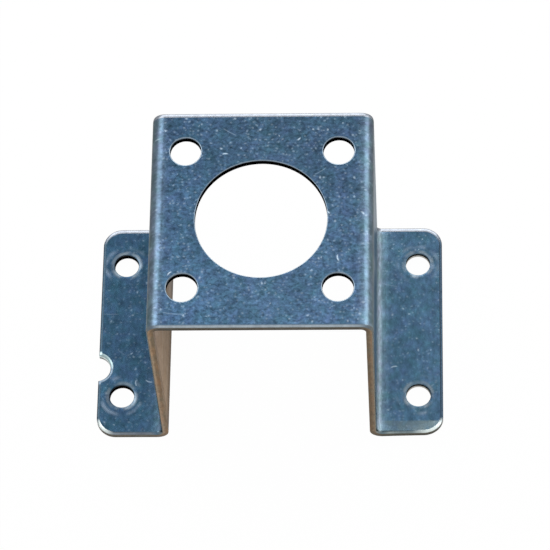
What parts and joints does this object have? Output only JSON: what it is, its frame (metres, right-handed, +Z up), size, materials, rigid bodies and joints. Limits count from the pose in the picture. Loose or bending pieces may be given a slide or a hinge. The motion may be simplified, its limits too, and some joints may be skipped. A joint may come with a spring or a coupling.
{
  "type": "motor mounting bracket",
  "caption": "Folded sheet steel bracket: a raised square plate with a large pilot hole and motor bolt holes, on two webs with outward flanges that bolt down.",
  "frame": {"origin": "middle of the footprint, in the plane of the flanges' undersides", "axes": "+Z up, out through the motor plate; +X across the two webs; +Y along the folds, to the back; the flange with the notch is on the -X side, with the notch towards -Y"},
  "size_m": [0.0984, 0.066, 0.069],
  "materials": {
    "zinc_plated_steel": "bright zinc plate with a blue passivate on cold-rolled sheet steel, lightly scratched and mottled from handling"
  },
  "bodies": {
    "root": {"motor_bracket": "zinc_plated_steel"}
  },
  "joints": []
}
